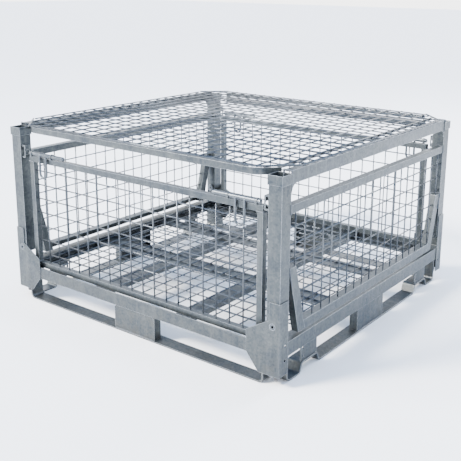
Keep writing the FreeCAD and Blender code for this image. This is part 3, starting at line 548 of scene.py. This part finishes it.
def lid_edge_wires(context, material):
    """A round wire along each edge of the lid, between its cut corners."""
    s = context.scene.container_mesh
    lo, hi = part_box("lid_mesh")
    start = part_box("lid_rear_bar")[1].x + REAR_BAR_SHORT
    cut = start + hi.y
    x, y, z = hi.x - s.wire / 2, hi.y - s.wire / 2, lo.z + s.wire
    work = bmesh.new()
    for side in (-1, 1):
        for half, place, turn in ((cut - hi.x, (side * x, 0, z), "X"), (start, (0, side * y, z), "Y")):
            matrix = Matrix.Translation(place) @ Matrix.Rotation(math.pi / 2, 4, turn)
            bmesh.ops.create_cone(work, cap_ends=True, segments=s.sides, radius1=s.wire / 2,
                                  radius2=s.wire / 2, depth=2 * half, matrix=matrix)
    shape = bpy.data.meshes.new("lid_edge_wires")
    work.to_mesh(shape)
    work.free()
    shape.shade_smooth()
    shape.materials.append(material)
    return new_object("lid_edge_wires", context, shape)


class CONTAINER_OT_mesh(bpy.types.Operator):
    """Weld round wires into every mesh of the container"""

    bl_idname = "container.mesh"
    bl_label = "Welded Mesh"

    def execute(self, context):
        materials = finishes(context)
        tree = welded_mesh_tree()
        for node, body in MESHES.items():
            values, turn = mesh_plan(node, context)
            values["Material"] = materials["zinc_wire"]
            piece = new_object(node + "_wires", context)
            modifier = piece.modifiers.new("mesh", "NODES")
            modifier.node_group = tree
            set_inputs(modifier, tree, values)
            bake(piece, node + "_wires", context)
            piece.data.transform(turn)
            if turn.determinant() < 0:
                piece.data.flip_normals()
            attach(piece, body)
            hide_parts(node)
        edge = lid_edge_wires(context, materials["zinc_wire"])
        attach(edge, "lid")
        return {"FINISHED"}


# ---- sheet metal and tubes ------------------------------------------------------------------------
TUBE_WORDS = ("posts", "mid_rail", "braces", "stiles", "panel_top_rail", "bottom_bar")
ROUND_WORDS = ("pins", "rods", "slide_bolt")
MERGE_DISTANCE = 1e-6
FLAT_ANGLE = math.radians(1.0)      # faces that meet at less than this become one
EDGE_ANGLE = math.radians(35)       # edges that turn by more are rounded
SHARP_ANGLE = math.radians(24)      # and what then turns by more is shaded sharp


class CONTAINER_OT_sheet(bpy.types.Operator):
    """Soften the edges of the sheet metal and the tubes"""

    bl_idname = "container.sheet"
    bl_label = "Sheet and Tube"

    def execute(self, context):
        s = context.scene.container_sheet
        material = finishes(context)["zinc_sheet"]
        for body, nodes in BODIES.items():
            for node in nodes:
                if node in MESHES or node == "stacking_feet" or any(w in node for w in ROUND_WORDS):
                    continue
                width = s.tube if any(w in node for w in TUBE_WORDS) else s.fold
                piece = soften(node, width, s.segments, context)
                piece.data.materials.clear()
                piece.data.materials.append(material)
                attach(piece, body)
                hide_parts(node)
        return {"FINISHED"}


def soften(node, width, segments, context):
    """A copy of a node with merged faces and rounded edges."""
    name = node + "_soft"
    source = bpy.data.objects[node]
    shape = source.data.copy()
    work = bmesh.new()
    work.from_mesh(shape)
    bmesh.ops.remove_doubles(work, verts=work.verts, dist=MERGE_DISTANCE)
    bmesh.ops.dissolve_limit(work, angle_limit=FLAT_ANGLE, verts=work.verts, edges=work.edges)
    work.to_mesh(shape)
    work.free()
    piece = new_object(name, context, shape)
    bevel = piece.modifiers.new("edges", "BEVEL")
    bevel.width = width
    bevel.segments = segments
    bevel.limit_method = "ANGLE"
    bevel.angle_limit = EDGE_ANGLE
    bevel.miter_outer = "MITER_ARC"
    bevel.use_clamp_overlap = True
    bake(piece, name, context)
    piece.data.shade_smooth()
    piece.data.set_sharp_from_angle(angle=SHARP_ANGLE)
    return piece


class CONTAINER_OT_bars(bpy.types.Operator):
    """Give the round bars, pins and feet their finishes"""

    bl_idname = "container.bars"
    bl_label = "Bars and Feet"

    def execute(self, context):
        materials = finishes(context)
        for nodes in BODIES.values():
            for node in nodes:
                if node == "stacking_feet":
                    paint(node, materials["foot_steel"])
                elif any(w in node for w in ROUND_WORDS):
                    paint(node, materials["zinc_bar"])
        return {"FINISHED"}


def paint(node, material):
    """Put one material in every slot of a node's object."""
    piece = bpy.data.objects[node]
    for slot in piece.material_slots:
        slot.material = material


# ---- weld beads ---------------------------------------------------------------------------------------
WELD_INPUTS = {
    "Radius": ("NodeSocketFloat", 0.003),
    "Spacing": ("NodeSocketFloat", 0.0024),
    "Uneven": ("NodeSocketFloat", 0.25),
    "Seed": ("NodeSocketInt", 7),
    "Material": ("NodeSocketMaterial", None),
}


def weld_tree():
    """Overlapping ripples along every edge of the host mesh."""
    graph, size = new_tree("weld_beads", WELD_INPUTS)
    seams = graph.node("GeometryNodeMeshToCurve", None, {"Mesh": size["Geometry"]})
    spots = graph.node("GeometryNodeResampleCurve", {"mode": "LENGTH"}, {
        "Curve": seams.outputs[0], "Length": size["Spacing"]})
    ripple = graph.node("GeometryNodeMeshIcoSphere", None, {"Radius": size["Radius"], "Subdivisions": 1})
    vary = graph.node("FunctionNodeRandomValue", {"data_type": "FLOAT_VECTOR"}, {
        "Min": (0.0, 0.0, 0.0), "Max": (1.0, 1.0, 1.0), "Seed": size["Seed"]})
    parts = graph.node("ShaderNodeSeparateXYZ", None, {"Vector": vary.outputs[0]})
    grown = [1.0 + (graph.value(parts, axis) - 0.5) * size["Uneven"] for axis in ("X", "Y", "Z")]
    turned = graph.node("ShaderNodeVectorMath", {"operation": "SCALE"}, {
        "Vector": vary.outputs[0], "Scale": math.tau})
    beads = graph.node("GeometryNodeInstanceOnPoints", None, {
        "Points": spots.outputs[0], "Instance": ripple.outputs[0],
        "Rotation": turned.outputs[0], "Scale": combine(graph, *grown)})
    return close_tree(graph, beads.outputs[0], size["Material"])


def loop_seams(lo, hi, axis, place):
    """Four seams round a rectangle, at one place on an axis."""
    a, b = [i for i in range(3) if i != axis]
    corners = []
    for u, v in ((lo[a], lo[b]), (hi[a], lo[b]), (hi[a], hi[b]), (lo[a], hi[b])):
        point = [0.0, 0.0, 0.0]
        point[axis], point[a], point[b] = place, u, v
        corners.append(Vector(point))
    return list(zip(corners, corners[1:] + corners[:1]))


def end_seams(body):
    """Seams of an end frame: rails and braces on the posts and on each other."""
    lo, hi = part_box(body + "_mesh")
    seams = []
    for rail in ("mid_rail", "top_rail"):
        rail_lo, rail_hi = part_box(f"{body}_{rail}")
        if rail == "top_rail":
            rail_lo = Vector((rail_lo.x, rail_lo.y, rail_lo.z + TOP_RAIL_BARE))
        for side in (lo.y, hi.y):
            seams += loop_seams(rail_lo, rail_hi, 1, side)
    brace_lo, brace_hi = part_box(body + "_braces")
    for side in (-1, 1):
        edge = side * brace_hi.y
        seams.append((Vector((brace_lo.x, edge, brace_hi.z)), Vector((brace_hi.x, edge, brace_hi.z))))
        for x in (brace_lo.x, brace_hi.x):
            low_end = Vector((x, side * (brace_hi.y - BRACE_SEAM_IN), brace_hi.z - BRACE_SEAM_DOWN))
            seams.append((Vector((x, edge, brace_hi.z)), low_end))
    return seams


def base_seams(s):
    """Seams of the base: sleeves and blocks on the rails and skids."""
    seams = []
    for side in ("front", "rear"):
        for hand in ("left", "right"):
            lo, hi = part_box(f"sleeve_{side}_{hand}")
            rail_lo, rail_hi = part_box(f"base_{side}_rail")
            y = rail_lo.y + s.radius / 2 if side == "front" else rail_hi.y - s.radius / 2
            x = hi.x if hand == "left" else lo.x
            seams.append((Vector((x, y, rail_lo.z + SLEEVE_SEAM_SHORT)),
                          Vector((x, y, rail_hi.z - SLEEVE_SEAM_SHORT))))
    lo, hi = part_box("centre_blocks")
    half = BLOCK_WIDTH / 2
    for z in (lo.z, hi.z):
        for y in (lo.y, hi.y):
            seams.append((Vector((-half, y, z)), Vector((half, y, z))))
        for x in (lo.x, hi.x):
            seams.append((Vector((x, -half, z)), Vector((x, half, z))))
    return seams


def panel_seams(body, s):
    """Seams of a panel's corners, kept off its inner face, which lies on the floor mesh when folded."""
    lo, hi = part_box(body + "_stiles")
    rail_lo, rail_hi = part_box(body + "_top_rail")
    out = 1 if lo.y > 0 else -1
    near = out * (min(abs(lo.y), abs(hi.y)) + 1.5 * s.radius)
    far = out * max(abs(lo.y), abs(hi.y))
    seams = []
    for side in (-1, 1):
        inner, outer = side * (hi.x - rail_hi.z + rail_lo.z), side * hi.x
        for z in (lo.z, hi.z):
            outline = ((inner, near), (inner, far), (outer, far), (outer, near))
            corners = [Vector((x, y, z)) for x, y in outline]
            seams += zip(corners, corners[1:])
    return seams


class CONTAINER_OT_welds(bpy.types.Operator):
    """Lay weld beads where the pieces of each frame meet"""

    bl_idname = "container.welds"
    bl_label = "Weld Beads"

    def execute(self, context):
        s = context.scene.container_weld
        material = finishes(context)["weld_metal"]
        tree = weld_tree()
        plans = {
            "base": base_seams(s),
            "left_end": end_seams("left_end"),
            "right_end": end_seams("right_end"),
            "front_panel": panel_seams("front_panel", s),
            "rear_panel": panel_seams("rear_panel", s),
        }
        for seed, (body, seams) in enumerate(plans.items()):
            host = bpy.data.meshes.new(body + "_welds")
            points = [p for seam in seams for p in seam]
            host.from_pydata([tuple(p) for p in points], [(i, i + 1) for i in range(0, len(points), 2)], [])
            piece = new_object(body + "_welds", context, host)
            modifier = piece.modifiers.new("welds", "NODES")
            modifier.node_group = tree
            set_inputs(modifier, tree, {
                "Radius": s.radius, "Spacing": s.spacing, "Uneven": s.uneven, "Seed": seed,
                "Material": material})
            bake(piece, body + "_welds", context)
            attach(piece, body)
        return {"FINISHED"}


# ---- stage ----------------------------------------------------------------------------------------------
FLOOR_REACH = 30.0
FLOOR_ROUGHNESS = 0.85
SKY_TURNS = [(0.14, 0.0), (0.70, 1.0)]   # height in the sky, and how far it has turned to the zenith
LAMP_AIM = (0.0, 0.0, 0.3)
SUN_PLACE = (-2.4, -3.4, 3.6)
SUN_SPREAD = math.radians(14)
SUN_COLOUR = (1.0, 0.95, 0.88)
KEY_PLACE = (-2.6, -3.2, 4.2)
RIM_PLACE = (1.0, 4.0, 3.4)
LAMP_SIZE = 3.0
SENSOR_WIDTH = 36.0              # millimetres


def matte(name, colour):
    material = bpy.data.materials.new(name)
    material.use_nodes = True
    shader = material.node_tree.nodes["Principled BSDF"]
    shader.inputs["Base Color"].default_value = (*colour, 1.0)
    shader.inputs["Roughness"].default_value = FLOOR_ROUGHNESS
    return material


def lamp(kind, name, place, power, context):
    """A lamp of some kind, turned to face the container."""
    light = bpy.data.lights.new(name, kind)
    light.energy = power
    piece = bpy.data.objects.new(name, light)
    piece.location = place
    piece.rotation_euler = (Vector(LAMP_AIM) - Vector(place)).to_track_quat("-Z", "Y").to_euler()
    context.scene.collection.objects.link(piece)
    return light


class CONTAINER_OT_stage(bpy.types.Operator):
    """Set the camera, the floor and the lights"""

    bl_idname = "container.stage"
    bl_label = "Stage"

    def execute(self, context):
        s = context.scene.container_stage
        self.camera(s, context)
        floor = bpy.data.meshes.new("floor")
        far = FLOOR_REACH
        corners = [(-far, -far, 0), (far, -far, 0), (far, far, 0), (-far, far, 0)]
        floor.from_pydata(corners, [], [(0, 1, 2, 3)])
        floor.materials.append(matte("pale_floor", s.floor))
        new_object("floor", context, floor)
        sun = lamp("SUN", "main", SUN_PLACE, s.sun, context)
        sun.angle = SUN_SPREAD
        sun.color = SUN_COLOUR
        for name, place, power in (("key", KEY_PLACE, s.key), ("rim", RIM_PLACE, s.rim)):
            light = lamp("AREA", name, place, power, context)
            light.shape = "DISK"
            light.size = LAMP_SIZE
        self.surroundings(s, context)
        return {"FINISHED"}

    def surroundings(self, s, context):
        """White all round, deepening to blue straight above."""
        world = bpy.data.worlds.new("studio")
        world.use_nodes = True
        world.node_tree.nodes.clear()
        graph = Graph(world.node_tree)
        where = graph.node("ShaderNodeTexCoord").outputs["Generated"]
        up = graph.value(graph.node("ShaderNodeSeparateXYZ", None, {"Vector": where}), "Z")
        height = ramp(graph, up, SKY_TURNS)
        colour = mix_colour(graph, height, (1.0, 1.0, 1.0, 1.0), (*s.zenith, 1.0))
        sky = graph.node("ShaderNodeBackground", None, {"Color": colour, "Strength": s.sky})
        graph.node("ShaderNodeOutputWorld", None, {"Surface": sky.outputs[0]})
        context.scene.world = world

    def camera(self, s, context):
        eye, target = Vector(s.eye), Vector(s.target)
        ahead = (target - eye).normalized()
        right = ahead.cross(Vector((0, 0, 1))).normalized()
        up = right.cross(ahead)
        c, t = math.cos(s.roll), math.sin(s.roll)
        right, up = c * right + t * up, c * up - t * right
        lens = bpy.data.cameras.new("camera")
        lens.lens = s.lens
        lens.sensor_width = SENSOR_WIDTH
        lens.shift_x, lens.shift_y = s.shift
        camera = bpy.data.objects.new("camera", lens)
        turn = Matrix((right, up, -ahead)).transposed().to_4x4()
        camera.matrix_world = Matrix.Translation(eye) @ turn
        context.scene.collection.objects.link(camera)
        context.scene.camera = camera


class CONTAINER_PT_panel(bpy.types.Panel):
    """Steps that dress the container"""

    bl_idname = "CONTAINER_PT_panel"
    bl_label = "Wire Mesh Container"
    bl_space_type = "VIEW_3D"
    bl_region_type = "UI"
    bl_category = "Container"

    def draw(self, context):
        for step in STEPS:
            self.layout.operator(step.bl_idname)
        for name in SETTINGS:
            group = getattr(context.scene, name)
            box = self.layout.box()
            for field in group.bl_rna.properties:
                if field.identifier not in {"rna_type", "name"}:
                    box.prop(group, field.identifier)


STEPS = (CONTAINER_OT_mesh, CONTAINER_OT_sheet, CONTAINER_OT_bars, CONTAINER_OT_welds, CONTAINER_OT_stage)
CLASSES = (*SETTINGS.values(), *STEPS, CONTAINER_PT_panel)


def register():
    for item in CLASSES:
        bpy.utils.register_class(item)
    for name, group in SETTINGS.items():
        setattr(bpy.types.Scene, name, PointerProperty(type=group))


def unregister():
    for name in SETTINGS:
        delattr(bpy.types.Scene, name)
    for item in reversed(CLASSES):
        bpy.utils.unregister_class(item)


def main():
    register()
    bpy.ops.container.mesh()
    bpy.ops.container.sheet()
    bpy.ops.container.bars()
    bpy.ops.container.welds()
    bpy.ops.container.stage()


if __name__ == "__main__":
    main()
